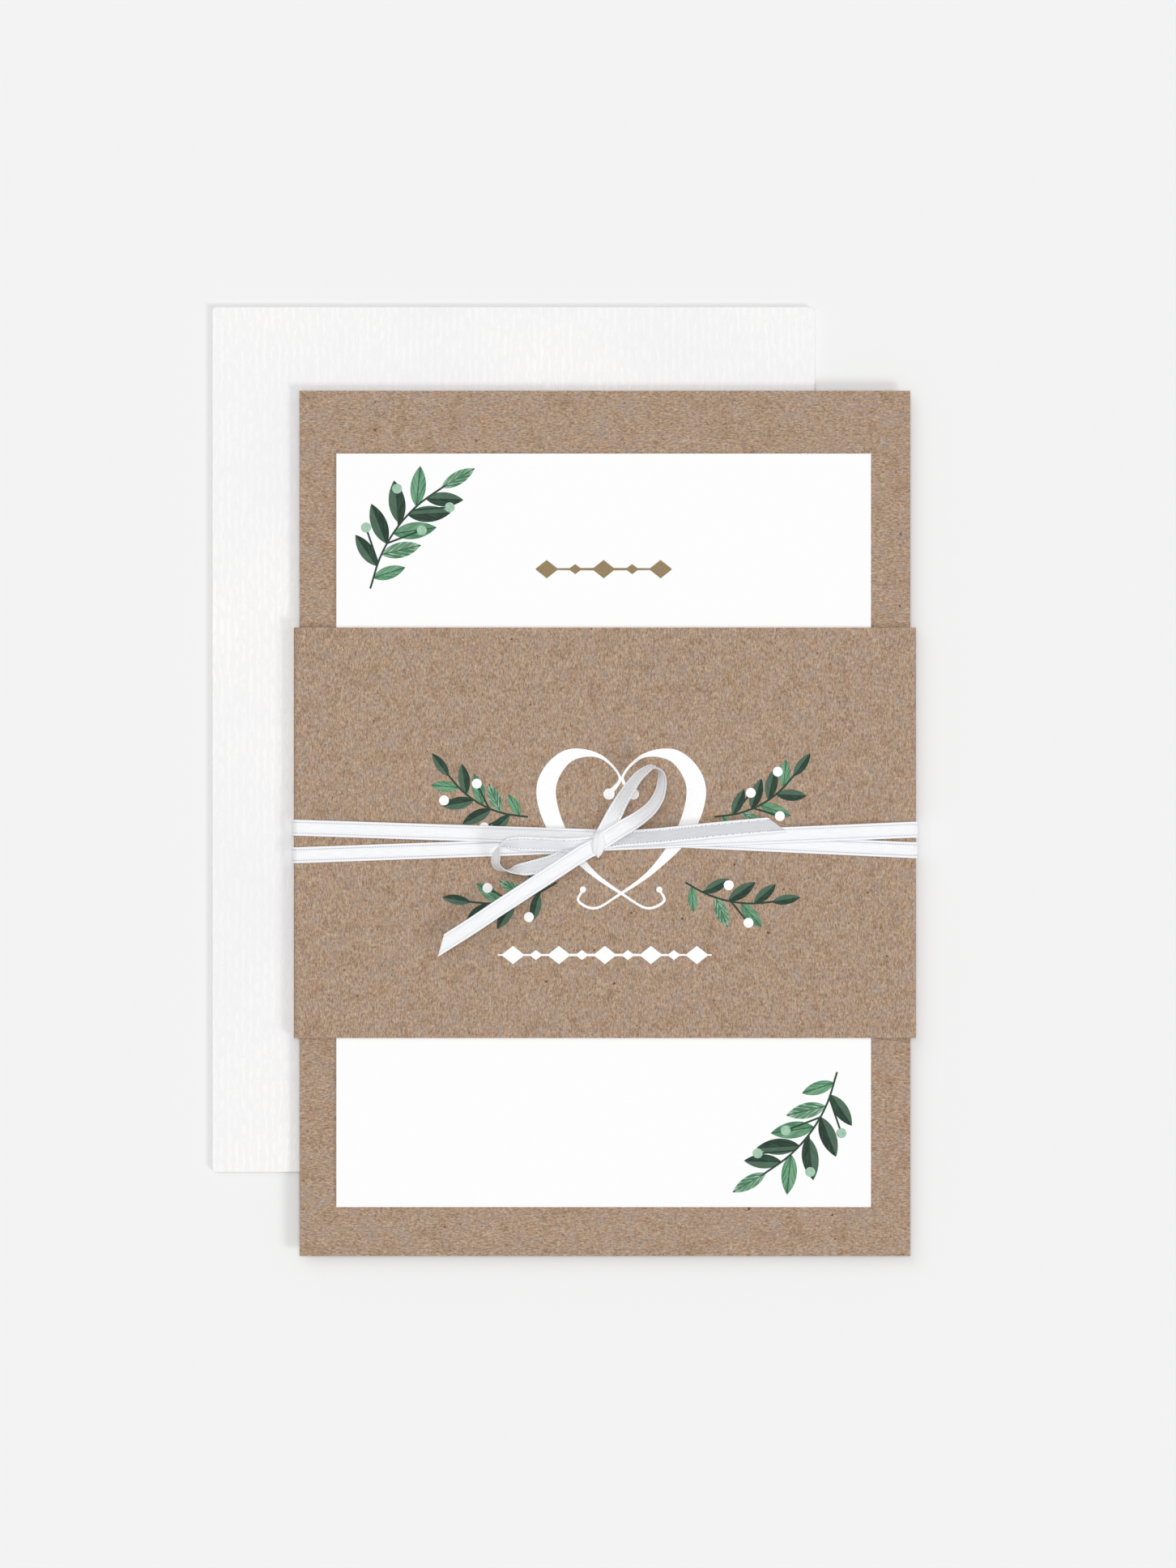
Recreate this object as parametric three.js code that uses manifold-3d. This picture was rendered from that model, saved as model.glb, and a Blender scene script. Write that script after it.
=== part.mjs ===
// A wedding invitation set, lying flat: an envelope, and on it a kraft card and a smaller white card,
// held together by a kraft belly band and a narrow ribbon that is wound round twice and tied in a bow.
// Millimetres. +Z is up, +X is to the right and +Y to the top of the set as it is read.
import * as THREE from "three";
import { mergeVertices } from "three/addons/utils/BufferGeometryUtils.js";
import Module from "manifold-3d";

// Kraft card, whose centre every other piece is placed from
const CARD_WIDTH = 120;
const CARD_HEIGHT = 170;
const CARD_THICKNESS = 0.5;

// White card on it
const INSERT_WIDTH = 105;
const INSERT_HEIGHT = 148;
const INSERT_THICKNESS = 0.4;
const INSERT_RIGHT_OF_CARD = -0.24;
const INSERT_ABOVE_CARD = -1.36;

// Belly band round both cards
const BAND_HEIGHT = 80.6;
const BAND_THICKNESS = 0.35;
const BAND_ABOVE_CARD = -1.84;
const BAND_SIDE_ROOM = 0.76;
const SEAM_WIDTH = 20;
const SEAM_RIGHT_OF_CARD = 6;
const SEAM_STEP = 1.5;

// Envelope under the cards
const ENVELOPE_WIDTH = 118.7;
const ENVELOPE_HEIGHT = 170.2;
const ENVELOPE_RIGHT_OF_CARD = -18;
const ENVELOPE_ABOVE_CARD = 16.5;
const ENVELOPE_PAPER = 0.16;
const FLAP_ROOM = 0.06;
const POCKET_ROOM = 0.14;
const CLOSING_FLAP_REACH = 66;
const BOTTOM_FLAP_REACH = 74;
const SIDE_FLAP_REACH = 24;
const FLAP_CORNER = 6;
const FOLD_NOTCH = 0.75;
const FOLD_LEG = 0.3;
const GLUE_BITE = 0.02;

// Ribbon
const RIBBON_WIDTH = 3.2;
const RIBBON_THICKNESS = 0.25;
const KNOT_RIGHT_OF_BAND = -1.3;
const KNOT_ABOVE_BAND = -2.2;
const KNOT_LENGTH = 5.2;
const KNOT_WIDTH = 2.5;
const KNOT_HEIGHT = 1.75;
const TAIL_SLANT = 3.6;

// Print, a thin raised layer of ink
const INK = 0.03;
const LINE_THICK = 3.8;
const HAIRLINE = 0.5;
const STROKE_BALL = 2.2;
const SWASH_BALL = 1.2;
const STEM = 0.36;
const LEAF_LENGTH = 5.6;
const LEAF_WIDTH = 2.3;
const BERRY = 2;
const BERRY_STALK = 5.4;
const BAND_SPRIG_LENGTH = 18;
const HEART_RIGHT_OF_BAND = 3.2;
const HEART_ABOVE_BAND = 2;
const HEART_HALF_WIDTH = 15;
const HEART_HEIGHT = 28;
const BAND_RULE_WIDTH = 42;
const BAND_RULE_ABOVE_BAND = -24;
const INSERT_RULE_WIDTH = 26;
const INSERT_RULE_FROM_TOP = 22.7;
const RULE_DIAMOND = 3.6;
const CORNER_SPRIG_LENGTH = 25;
const CORNER_SPRIG_IN_X = 14;
const CORNER_SPRIG_IN_Y = 16.4;
const CORNER_LEAF_LENGTH = 7.56;

// Faces of the quarter and half rounds
const FOLD_SEGMENTS = 10;

const wasm = await Module();
wasm.setup();

// Levels of the stack, from the table up
const flapTop = ENVELOPE_PAPER;
const bottomFlapBase = flapTop + FLAP_ROOM;
const sideFlapBase = bottomFlapBase + ENVELOPE_PAPER;
const frontBase = sideFlapBase + ENVELOPE_PAPER + POCKET_ROOM;
const envelopeTop = frontBase + ENVELOPE_PAPER;
const backStrandTop = envelopeTop + RIBBON_THICKNESS;
const bandBase = backStrandTop + BAND_THICKNESS;
const cardBase = bandBase + BAND_THICKNESS;
const insertBase = cardBase + CARD_THICKNESS;
const insertTop = insertBase + INSERT_THICKNESS;
const bandTop = insertTop + BAND_THICKNESS;
const inkTop = bandTop + INK;

// Band in plan: it clears whichever card is wider
const insertReach = INSERT_WIDTH / 2 + Math.abs(INSERT_RIGHT_OF_CARD);
const bandHalf = Math.max(CARD_WIDTH / 2, insertReach) + BAND_SIDE_ROOM + BAND_THICKNESS;
const bandFold = (bandTop - bandBase) / 2;
const bandFoldX = bandHalf - bandFold;
const bandMiddleZ = (bandTop + bandBase) / 2;

const knotX = KNOT_RIGHT_OF_BAND;
const knotY = BAND_ABOVE_CARD + KNOT_ABOVE_BAND;

// A closed three.js geometry as a solid that can be joined and cut
function solidOf(geometry) {
  const bare = new THREE.BufferGeometry();
  bare.setAttribute("position", geometry.getAttribute("position"));
  bare.setIndex(geometry.getIndex());
  const merged = mergeVertices(bare, 1e-4);
  const mesh = new wasm.Mesh({
    numProp: 3,
    vertProperties: merged.getAttribute("position").array,
    triVerts: new Uint32Array(merged.getIndex().array),
  });
  return new wasm.Manifold(mesh);
}

function joined(solids) {
  return solids.reduce((whole, next) => whole.add(next));
}

function geometryOf(solid) {
  const { vertProperties, triVerts } = solid.getMesh();
  const geometry = new THREE.BufferGeometry();
  geometry.setAttribute("position", new THREE.BufferAttribute(vertProperties, 3));
  geometry.setIndex(new THREE.BufferAttribute(triVerts, 1));
  geometry.computeVertexNormals();
  return geometry;
}

function named(name, geometry, colour, roughness) {
  const material = new THREE.MeshStandardMaterial({ color: colour, roughness, metalness: 0 });
  const mesh = new THREE.Mesh(geometry, material);
  mesh.name = name;
  return mesh;
}

// A flat sheet between two levels, from its outline in plan
function sheet(outline, base, thickness) {
  const geometry = new THREE.ExtrudeGeometry(outline, {
    depth: thickness,
    bevelEnabled: false,
    curveSegments: 6,
  });
  return geometry.translate(0, 0, base);
}

// An outline in X and Z, drawn out along Y and centred there
function drawnOut(profile, length) {
  const geometry = new THREE.ExtrudeGeometry(profile, {
    depth: length,
    bevelEnabled: false,
    curveSegments: FOLD_SEGMENTS,
  });
  return geometry.rotateX(Math.PI / 2).translate(0, length / 2, 0);
}

function rectangle(left, bottom, right, top) {
  return outlineOf([
    [left, bottom],
    [right, bottom],
    [right, top],
    [left, top],
  ]);
}

function outlineOf(corners) {
  return new THREE.Shape(corners.map(([x, y]) => new THREE.Vector2(x, y)));
}

// Envelope: a blank folded along its four edges, with the closing flap hinged on the right edge

// A fold that runs along Y with its crest at x = 0, joining a layer at base to one that ends at top
function foldAlongY(length, base, top, leg) {
  const outer = (top - base) / 2;
  const inner = outer - ENVELOPE_PAPER;
  const middle = (top + base) / 2;
  const profile = new THREE.Shape();
  profile.moveTo(-outer - leg, base);
  profile.lineTo(-outer, base);
  profile.absarc(-outer, middle, outer, -Math.PI / 2, Math.PI / 2, false);
  profile.lineTo(-outer - leg, top);
  profile.lineTo(-outer - leg, top - ENVELOPE_PAPER);
  profile.lineTo(-outer, top - ENVELOPE_PAPER);
  profile.absarc(-outer, middle, inner, Math.PI / 2, -Math.PI / 2, true);
  profile.lineTo(-outer - leg, base + ENVELOPE_PAPER);
  return drawnOut(profile, length);
}

// A flap in plan: full width at its hinge, slanting in to a blunt end
function flapOutline(hingeHalf, endHalf, hinge, reach, shoulder) {
  return outlineOf([
    [hinge, -hingeHalf],
    [hinge, hingeHalf],
    [hinge - shoulder, hingeHalf],
    [hinge - reach, endHalf],
    [hinge - reach - endHalf * 0.12, 0],
    [hinge - reach, -endHalf],
    [hinge - shoulder, -hingeHalf],
  ]);
}

// One flap with its fold, built for the right edge and turned to the edge that it belongs to
function flapWithFold(edge, edgeHalf, base, reach, endHalf, shoulder, turn) {
  const fold = (envelopeTop - base) / 2;
  const hinge = edge - fold;
  const half = edgeHalf - FOLD_NOTCH;
  const panel = sheet(flapOutline(half, endHalf, hinge, reach, shoulder), base, ENVELOPE_PAPER);
  const crest = foldAlongY(2 * half, base, envelopeTop, FOLD_LEG).translate(edge, 0, 0);
  return [panel, crest].map((geometry) => solidOf(geometry.rotateZ(turn)));
}

function envelope() {
  const halfW = ENVELOPE_WIDTH / 2;
  const halfH = ENVELOPE_HEIGHT / 2;
  const closing = envelopeTop / 2;
  const bottom = (envelopeTop - bottomFlapBase) / 2;
  const side = (envelopeTop - sideFlapBase) / 2;
  const front = rectangle(-halfW + bottom, -halfH + side, halfW - closing, halfH - side);
  const pieces = [solidOf(sheet(front, frontBase, ENVELOPE_PAPER))];
  pieces.push(...flapWithFold(halfW, halfH, 0, CLOSING_FLAP_REACH, halfH * 0.2, FLAP_CORNER, 0));
  pieces.push(
    ...flapWithFold(halfW, halfH, bottomFlapBase, BOTTOM_FLAP_REACH, halfH * 0.36, FLAP_CORNER, Math.PI),
  );
  for (const turn of [Math.PI / 2, -Math.PI / 2]) {
    const glued = sideFlapBase - GLUE_BITE;
    pieces.push(...flapWithFold(halfH, halfW, glued, SIDE_FLAP_REACH, halfW * 0.7, FLAP_CORNER, turn));
  }
  const mesh = named("envelope", geometryOf(joined(pieces)), 0xf8f8f7, 0.85);
  mesh.position.set(ENVELOPE_RIGHT_OF_CARD, ENVELOPE_ABOVE_CARD, 0);
  return mesh;
}

// Cards
function invitationCard() {
  const outline = rectangle(-CARD_WIDTH / 2, -CARD_HEIGHT / 2, CARD_WIDTH / 2, CARD_HEIGHT / 2);
  return named("invitation_card", sheet(outline, cardBase, CARD_THICKNESS), 0xaa9079, 0.9);
}

function insertCard() {
  const outline = rectangle(-INSERT_WIDTH / 2, -INSERT_HEIGHT / 2, INSERT_WIDTH / 2, INSERT_HEIGHT / 2);
  const mesh = named("insert_card", sheet(outline, insertBase, INSERT_THICKNESS), 0xfdfdfc, 0.7);
  mesh.position.set(INSERT_RIGHT_OF_CARD, INSERT_ABOVE_CARD, 0);
  return mesh;
}

// Belly band: one strip folded round the cards, its ends glued over each other underneath
function bellyBand() {
  const seamLeft = SEAM_RIGHT_OF_CARD - SEAM_WIDTH / 2;
  const seamRight = SEAM_RIGHT_OF_CARD + SEAM_WIDTH / 2;
  const lowerInside = bandBase + BAND_THICKNESS;
  const inner = bandFold - BAND_THICKNESS;
  const outline = new THREE.Shape();
  outline.moveTo(-bandFoldX, bandBase);
  outline.lineTo(seamLeft, bandBase);
  outline.lineTo(seamLeft, bandBase - BAND_THICKNESS);
  outline.lineTo(seamRight, bandBase - BAND_THICKNESS);
  outline.lineTo(seamRight + SEAM_STEP, bandBase);
  outline.lineTo(bandFoldX, bandBase);
  outline.absarc(bandFoldX, bandMiddleZ, bandFold, -Math.PI / 2, Math.PI / 2, false);
  outline.lineTo(-bandFoldX, bandTop);
  outline.absarc(-bandFoldX, bandMiddleZ, bandFold, Math.PI / 2, (3 * Math.PI) / 2, false);
  const inside = new THREE.Path();
  inside.moveTo(-bandFoldX, lowerInside);
  inside.lineTo(seamRight, lowerInside);
  inside.lineTo(seamRight, bandBase);
  inside.lineTo(seamRight + SEAM_STEP, lowerInside);
  inside.lineTo(bandFoldX, lowerInside);
  inside.absarc(bandFoldX, bandMiddleZ, inner, -Math.PI / 2, Math.PI / 2, false);
  inside.lineTo(-bandFoldX, insertTop);
  inside.absarc(-bandFoldX, bandMiddleZ, inner, Math.PI / 2, (3 * Math.PI) / 2, false);
  outline.holes.push(inside);
  const mesh = named("belly_band", drawnOut(outline, BAND_HEIGHT), 0xac937e, 0.9);
  mesh.position.y = BAND_ABOVE_CARD;
  return mesh;
}

// Ribbon: a flat strip, given as stations with a centre, a direction across and a normal

// The closed strip through a list of stations
function strip(stations, width, thickness) {
  const corners = [];
  const faces = [];
  for (const { centre, across, normal } of stations) {
    for (const [a, n] of [
      [-1, -1],
      [1, -1],
      [1, 1],
      [-1, 1],
    ]) {
      const corner = centre.clone();
      corner.addScaledVector(across, (a * width) / 2);
      corner.addScaledVector(normal, (n * thickness) / 2);
      corners.push(corner);
    }
  }
  for (let i = 0; i + 1 < stations.length; i += 1) {
    for (let k = 0; k < 4; k += 1) {
      const a = 4 * i + k;
      const b = 4 * i + ((k + 1) % 4);
      faces.push(a, b, b + 4, a, b + 4, a + 4);
    }
  }
  const end = corners.length - 4;
  faces.push(0, 2, 1, 0, 3, 2, end, end + 1, end + 2, end, end + 2, end + 3);
  const geometry = new THREE.BufferGeometry().setFromPoints(corners);
  geometry.setIndex(faces);
  const solid = solidOf(geometry);
  return solid.volume() > 0 ? solid : solidOf(turnedOut(geometry));
}

function turnedOut(geometry) {
  const order = geometry.getIndex().array;
  const turned = [];
  for (let i = 0; i < order.length; i += 3) {
    turned.push(order[i], order[i + 2], order[i + 1]);
  }
  geometry.setIndex(turned);
  return geometry;
}

const UP = new THREE.Vector3(0, 0, 1);

// Stations of a free run of ribbon. Each point is [x, y, z, roll] from the knot's foot on the print;
// roll, in degrees, lifts the edge that lies to the right of the way the run goes.
function freeRun(points, slantEnd) {
  const way = new THREE.CatmullRomCurve3(
    points.map(([x, y, z]) => new THREE.Vector3(knotX + x, knotY + y, inkTop + z)),
    false,
    "catmullrom",
  );
  const rolls = new THREE.CatmullRomCurve3(
    points.map(([, , , roll]) => new THREE.Vector3(roll, 0, 0)),
    false,
    "catmullrom",
  );
  const steps = 2 * (points.length - 1);
  const stations = [];
  for (let i = 0; i <= steps; i += 1) {
    const centre = way.getPoint(i / steps);
    const ahead = way.getTangent(i / steps);
    const roll = THREE.MathUtils.degToRad(rolls.getPoint(i / steps).x);
    const side = new THREE.Vector3().crossVectors(ahead, UP).normalize();
    const above = new THREE.Vector3().crossVectors(side, ahead);
    const across = side.multiplyScalar(Math.cos(roll)).addScaledVector(above, Math.sin(roll));
    const normal = new THREE.Vector3().crossVectors(across, ahead).normalize();
    if (i === steps) {
      across.addScaledVector(ahead, slantEnd / RIBBON_WIDTH);
    }
    stations.push({ centre, across, normal });
  }
  return stations;
}

// One turn round the band. Each front run goes straight from the knot to the fold, and where the two
// turns lie over each other the upper one is lifted by a layer.
function turnRound({ leftKnot, leftFold, rightKnot, rightFold, lift }) {
  const across = new THREE.Vector3(0, 1, 0);
  const frontZ = inkTop + RIBBON_THICKNESS / 2;
  const backZ = envelopeTop + RIBBON_THICKNESS / 2;
  const radius = (frontZ - backZ) / 2;
  const middle = (frontZ + backZ) / 2;
  const stations = [];
  const add = (x, y, z, normal) => {
    stations.push({ centre: new THREE.Vector3(x, y, z), across, normal });
  };
  add(knotX, knotY + leftKnot, frontZ + lift, UP);
  for (const [side, fold] of [
    [-1, leftFold],
    [1, rightFold],
  ]) {
    for (let i = 0; i <= FOLD_SEGMENTS; i += 1) {
      const from = side < 0 ? Math.PI / 2 : -Math.PI / 2;
      const angle = from + (Math.PI * i) / FOLD_SEGMENTS;
      const normal = new THREE.Vector3(Math.cos(angle), 0, Math.sin(angle));
      add(side * bandFoldX + radius * normal.x, knotY + fold, middle + radius * normal.z, normal);
    }
  }
  add(knotX, knotY + rightKnot, frontZ + lift, UP);
  return stations;
}

// Ribbon points, in millimetres from the knot's foot, with the roll in degrees
const upperTurn = { leftKnot: 1.3, leftFold: 3.2, rightKnot: 0.2, rightFold: 2.8, lift: 0.28 };
const lowerTurn = { leftKnot: -0.1, leftFold: -2.2, rightKnot: 1.6, rightFold: -1.2, lift: 0.02 };
const rightLoop = [
  [0, 0.2, 0.75, 0],
  [2.8, 5.2, 1, 12],
  [4.4, 8.2, 1.7, 29],
  [6.1, 10.9, 2.4, 42],
  [8, 13.4, 2.8, 54],
  [10.2, 15, 3, 70],
  [11.4, 14.9, 3.05, 90],
  [12.3, 13.9, 3.05, 110],
  [12.5, 12.4, 2.95, 122],
  [12.2, 10.4, 2.7, 130],
  [11.5, 8.7, 2.4, 137],
  [10.1, 6.8, 2.05, 145],
  [7.7, 4.9, 1.6, 157],
  [4.9, 3.2, 1.15, 170],
  [2.2, 1.5, 1, 176],
  [0.2, 0.2, 0.95, 180],
];
const leftLoop = [
  [0, 0.2, 0.9, 0],
  [-4.1, -0.3, 1.25, 22],
  [-7.4, -0.2, 1.65, 31],
  [-12.3, 0, 1.75, 28],
  [-15.4, 0.1, 1.85, 30],
  [-17.8, 0.1, 2, 52],
  [-19.3, -0.5, 2.1, 90],
  [-20, -2.2, 2.05, 119],
  [-20.1, -3.9, 1.95, 119],
  [-19.1, -4.9, 1.85, 104],
  [-17.3, -5.3, 1.75, 80],
  [-15.5, -5, 1.5, 48],
  [-13.8, -4.8, 1.3, 33],
  [-11.4, -4.3, 1, 20],
  [-9.2, -3.7, 0.8, 12],
  [-6, -2.3, 0.75, 6],
  [-3.2, -1, 0.75, 4],
  [-0.3, 0, 0.8, 0],
];
const leftTail = [
  [0, -0.2, 1.35, 0],
  [-3.4, -2, 1.55, 0],
  [-8, -5, 1.95, 0],
  [-13.5, -8.6, 2.45, 0],
  [-19.5, -12.5, 2.65, 0],
  [-25.5, -16.5, 2.5, 0],
  [-30.9, -19.9, 2.2, 0],
];
const rightTail = [
  [0, 0.2, 1.3, 0],
  [3.4, 0.9, 1.5, 0],
  [6.8, 1.2, 1.55, 0],
  [12.2, 1.6, 1.25, 0],
  [18, 2.2, 0.95, 0],
  [26, 3, 0.8, 0],
  [35.2, 3.8, 0.72, 0],
];

// The pinched knot, a rounded pillow of folded ribbon that reaches down to the print
function knot() {
  const shape = new THREE.SphereGeometry(1, 20, 12);
  shape.scale(KNOT_WIDTH / 2, KNOT_LENGTH / 2, KNOT_HEIGHT / 2);
  shape.rotateZ(THREE.MathUtils.degToRad(-6));
  return solidOf(shape.translate(knotX, knotY, inkTop + KNOT_HEIGHT / 2));
}

function ribbon() {
  const runs = [
    turnRound(lowerTurn),
    turnRound(upperTurn),
    freeRun(rightLoop, 0),
    freeRun(leftLoop, 0),
    freeRun(leftTail, -TAIL_SLANT),
    freeRun(rightTail, TAIL_SLANT),
  ];
  const solids = runs.map((stations) => strip(stations, RIBBON_WIDTH, RIBBON_THICKNESS));
  return named("ribbon", geometryOf(joined([knot(), ...solids])), 0xf4f4f6, 0.45);
}

// Print

// An inked stroke along a smooth line, its width given at each point
function stroke(points, base) {
  const line = new THREE.SplineCurve(points.map(([x, y]) => new THREE.Vector2(x, y)));
  const widths = new THREE.SplineCurve(points.map(([, , width]) => new THREE.Vector2(width, 0)));
  const steps = 5 * (points.length - 1);
  const right = [];
  const left = [];
  for (let i = 0; i <= steps; i += 1) {
    const at = line.getPoint(i / steps);
    const ahead = line.getTangent(i / steps);
    const half = Math.max(widths.getPoint(i / steps).x, HAIRLINE * 0.4) / 2;
    right.push([at.x + ahead.y * half, at.y - ahead.x * half]);
    left.unshift([at.x - ahead.y * half, at.y + ahead.x * half]);
  }
  return solidOf(sheet(outlineOf([...right, ...left]), base, INK));
}

// A leaf whose foot is at (x, y) and that points along angle
function leaf(x, y, angle, length, width, base) {
  const outline = new THREE.Shape();
  outline.moveTo(0, 0);
  outline.bezierCurveTo(length * 0.25, -width * 0.62, length * 0.7, -width * 0.6, length, 0);
  outline.bezierCurveTo(length * 0.7, width * 0.6, length * 0.25, width * 0.62, 0, 0);
  return solidOf(sheet(outline, base, INK).rotateZ(angle).translate(x, y, 0));
}

function dot(x, y, diameter, base) {
  const outline = new THREE.Shape();
  outline.absarc(0, 0, diameter / 2, 0, 2 * Math.PI, false);
  return solidOf(sheet(outline, base, INK).translate(x, y, 0));
}

// A sprig: a bent stem with leaves on alternate sides, a leaf at its end and berries between them.
// It runs from its foot along angle, and bow is how far its middle bows to the left, as a share of
// its length. Leaves longer than LEAF_LENGTH are wider in proportion, and their stalks longer.
function sprig({ angle, length, bow, leaves, berries, base, leafLength = LEAF_LENGTH }) {
  const growth = leafLength / LEAF_LENGTH;
  const across = new THREE.Vector2(-Math.sin(angle), Math.cos(angle));
  const along = new THREE.Vector2(Math.cos(angle), Math.sin(angle));
  const pointAt = (share) => {
    const aside = 4 * bow * length * share * (1 - share);
    return along.clone().multiplyScalar(share * length).addScaledVector(across, aside);
  };
  const headingAt = (share) => angle + Math.atan(4 * bow * (1 - 2 * share));
  const stemPoints = [0, 0.25, 0.5, 0.75, 1].map((share) => [...pointAt(share), STEM]);
  const solids = [stroke(stemPoints, base)];
  for (let i = 0; i < leaves; i += 1) {
    const share = 0.08 + (0.84 * i) / leaves;
    const side = i % 2 ? 1 : -1;
    const size = growth * (0.8 + 0.35 * Math.sin(Math.PI * share));
    const at = pointAt(share);
    const turn = headingAt(share) + side * THREE.MathUtils.degToRad(58 - 22 * share);
    solids.push(leaf(at.x, at.y, turn, LEAF_LENGTH * size, LEAF_WIDTH * size, base));
  }
  const tip = pointAt(0.97);
  solids.push(leaf(tip.x, tip.y, headingAt(1), LEAF_LENGTH * growth, LEAF_WIDTH * 0.9 * growth, base));
  for (let i = 0; i < berries; i += 1) {
    const share = 0.2 + (0.66 * i) / berries;
    const side = i % 2 ? -1 : 1;
    const at = pointAt(share);
    const turn = headingAt(share) + side * THREE.MathUtils.degToRad(40);
    const endX = at.x + BERRY_STALK * growth * Math.cos(turn);
    const endY = at.y + BERRY_STALK * growth * Math.sin(turn);
    solids.push(stroke([[at.x, at.y, STEM], [endX, endY, STEM]], base));
    solids.push(dot(endX, endY, BERRY, base));
  }
  return geometryOf(joined(solids));
}

// A heart written in two mirrored strokes, a ball at each end, that cross at its point
function heartPrint() {
  const w = HEART_HALF_WIDTH;
  const h = HEART_HEIGHT;
  const half = [
    [-0.16 * w, 0.2 * h, HAIRLINE * 2.2],
    [-0.02 * w, 0.32 * h, HAIRLINE],
    [-0.3 * w, 0.47 * h, HAIRLINE * 1.6],
    [-0.72 * w, 0.46 * h, LINE_THICK * 0.7],
    [-0.98 * w, 0.25 * h, LINE_THICK],
    [-0.84 * w, -0.05 * h, LINE_THICK * 0.85],
    [-0.42 * w, -0.33 * h, HAIRLINE * 2.4],
    [0.04 * w, -0.51 * h, HAIRLINE],
    [0.34 * w, -0.6 * h, HAIRLINE],
    [0.56 * w, -0.55 * h, HAIRLINE],
    [0.5 * w, -0.47 * h, HAIRLINE * 0.8],
  ];
  const solids = [];
  for (const side of [1, -1]) {
    const line = half.map(([x, y, width]) => [side * x, y, width]);
    solids.push(stroke(line, bandTop));
    solids.push(dot(line[0][0], line[0][1], STROKE_BALL, bandTop));
    solids.push(dot(line.at(-1)[0], line.at(-1)[1], SWASH_BALL, bandTop));
  }
  const mesh = named("band_heart_print", geometryOf(joined(solids)), 0xffffff, 0.6);
  mesh.position.set(HEART_RIGHT_OF_BAND, BAND_ABOVE_CARD + HEART_ABOVE_BAND, 0);
  return mesh;
}

// A rule with a row of diamonds on it, large and small in turn
function ruleSolid(width, diamonds, base) {
  const thin = HAIRLINE * 0.6;
  const solids = [stroke([[-width / 2, 0, thin], [0, 0, HAIRLINE], [width / 2, 0, thin]], base)];
  const last = diamonds - 1;
  for (let i = 0; i <= last; i += 1) {
    const at = (i / last - 0.5) * width * 0.86;
    const size = RULE_DIAMOND * (i % 2 === (last / 2) % 2 ? 1 : 0.55);
    const diamond = outlineOf([
      [at - size * 0.6, 0],
      [at, -size / 2],
      [at + size * 0.6, 0],
      [at, size / 2],
    ]);
    solids.push(solidOf(sheet(diamond, base, INK)));
  }
  return geometryOf(joined(solids));
}

function prints() {
  const degrees = THREE.MathUtils.degToRad;
  const heartX = HEART_RIGHT_OF_BAND;
  const heartY = BAND_ABOVE_CARD + HEART_ABOVE_BAND;
  const w = HEART_HALF_WIDTH;
  const h = HEART_HEIGHT;
  const made = [heartPrint()];
  const bandSprigs = [
    { name: "band_sprig_left", dx: -1.22 * w, dy: 0.04 * h, angle: 152, bow: 0.12, leaves: 8, berries: 3 },
    { name: "band_sprig_right", dx: 1.22 * w, dy: 0.04 * h, angle: 28, bow: -0.12, leaves: 8, berries: 3 },
    { name: "band_sprig_lower_left", dx: -0.84 * w, dy: -0.42 * h, angle: 192, bow: 0.1, leaves: 6, berries: 2 },
    { name: "band_sprig_lower_right", dx: 0.84 * w, dy: -0.42 * h, angle: -12, bow: -0.1, leaves: 6, berries: 2 },
  ];
  for (const { name, dx, dy, angle, ...rest } of bandSprigs) {
    const spec = { ...rest, angle: degrees(angle), length: BAND_SPRIG_LENGTH, base: bandTop };
    const mesh = named(name, sprig(spec), 0x2f5a41, 0.7);
    mesh.position.set(heartX + dx, heartY + dy, 0);
    made.push(mesh);
  }
  const bandRule = named("band_rule_print", ruleSolid(BAND_RULE_WIDTH, 9, bandTop), 0xffffff, 0.6);
  bandRule.position.set(0, BAND_ABOVE_CARD + BAND_RULE_ABOVE_BAND, 0);
  const insertRule = named("insert_rule_print", ruleSolid(INSERT_RULE_WIDTH, 5, insertTop), 0x96825f, 0.6);
  const ruleY = INSERT_ABOVE_CARD + INSERT_HEIGHT / 2 - INSERT_RULE_FROM_TOP;
  insertRule.position.set(INSERT_RIGHT_OF_CARD, ruleY, 0);
  made.push(bandRule, insertRule);
  const cornerSprig = {
    length: CORNER_SPRIG_LENGTH,
    bow: 0.11,
    leaves: 9,
    berries: 4,
    base: insertTop,
    leafLength: CORNER_LEAF_LENGTH,
  };
  for (const [name, side, angle] of [
    ["insert_sprig_top", -1, 54],
    ["insert_sprig_bottom", 1, 234],
  ]) {
    const mesh = named(name, sprig({ ...cornerSprig, angle: degrees(angle) }), 0x2f5a41, 0.7);
    const cornerX = side * (INSERT_WIDTH / 2 - CORNER_SPRIG_IN_X);
    const cornerY = -side * (INSERT_HEIGHT / 2 - CORNER_SPRIG_IN_Y);
    const footX = cornerX - (CORNER_SPRIG_LENGTH / 2) * Math.cos(degrees(angle));
    const footY = cornerY - (CORNER_SPRIG_LENGTH / 2) * Math.sin(degrees(angle));
    mesh.position.set(INSERT_RIGHT_OF_CARD + footX, INSERT_ABOVE_CARD + footY, 0);
    made.push(mesh);
  }
  return made;
}

const invitation = new THREE.Group();
invitation.add(envelope(), invitationCard(), insertCard(), bellyBand(), ribbon(), ...prints());

// The origin is the middle of the whole set, on the table
const extent = new THREE.Box3().setFromObject(invitation);
const middle = extent.getCenter(new THREE.Vector3());
for (const piece of invitation.children) {
  piece.position.x -= middle.x;
  piece.position.y -= middle.y;
}

export default invitation;
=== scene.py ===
import bpy
import math
from mathutils import Matrix, Vector


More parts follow.
